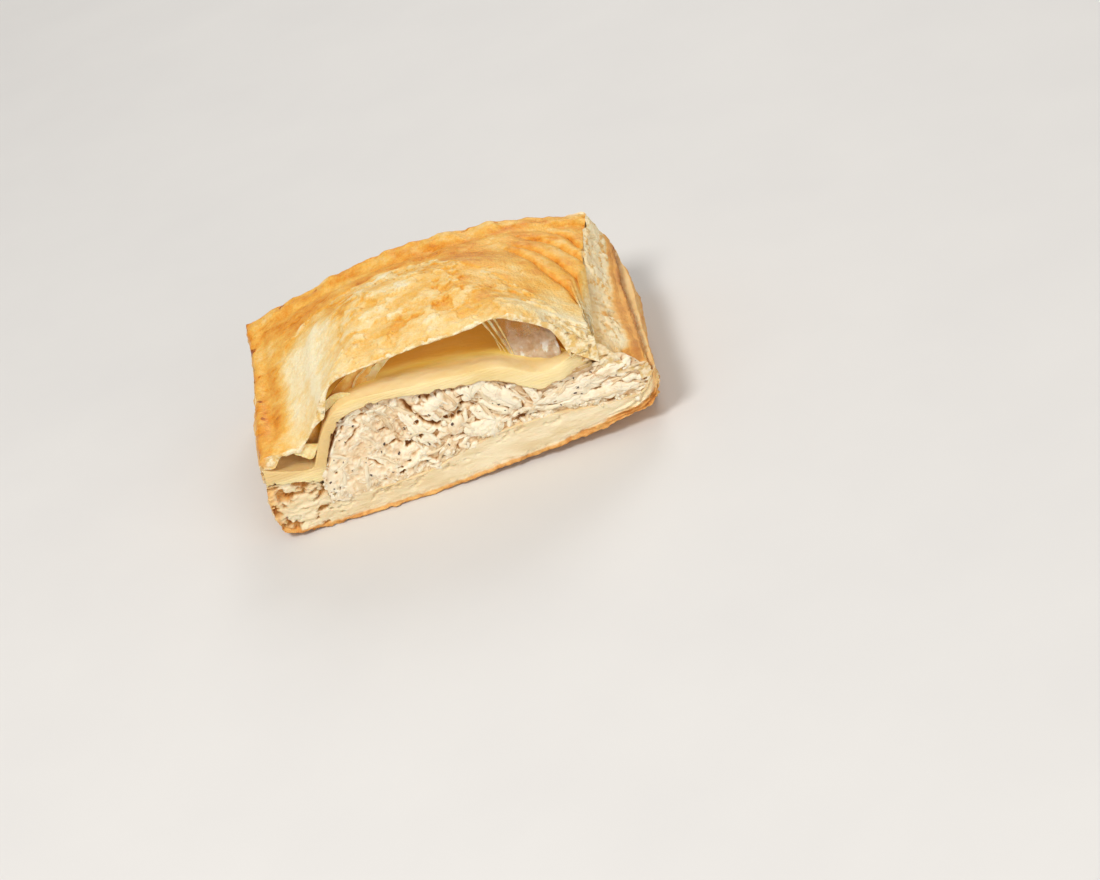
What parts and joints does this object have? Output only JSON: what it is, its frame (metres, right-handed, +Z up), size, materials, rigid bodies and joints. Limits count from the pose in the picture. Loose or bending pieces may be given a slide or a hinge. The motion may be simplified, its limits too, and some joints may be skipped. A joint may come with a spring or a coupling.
{
  "type": "half chicken puff",
  "caption": "Half of a chicken puff as cut: domed flaky puff pastry over shredded chicken, with an open steam pocket at the cut face.",
  "frame": {"origin": "under the middle of the half, on the surface it rests on: centre of the bounding box's bottom", "axes": "+X runs along the cut from the end with the small rim opening to the sloped flaky end, +Y points from the cut to the crimped back rim, +Z is up"},
  "size_m": [0.1028, 0.0673, 0.0429],
  "materials": {
    "golden_crust": "egg-washed baked crust, golden orange to cream, half gloss",
    "pale_dough": "pale layered dough, thin browned skin underneath, matt",
    "cooked_chicken": "moist shredded cooked chicken, cream to pinkish beige, with pepper specks"
  },
  "bodies": {
    "root": {"pastry_top": "golden_crust", "pastry_base": "pale_dough", "chicken_filling": "cooked_chicken"}
  },
  "joints": []
}
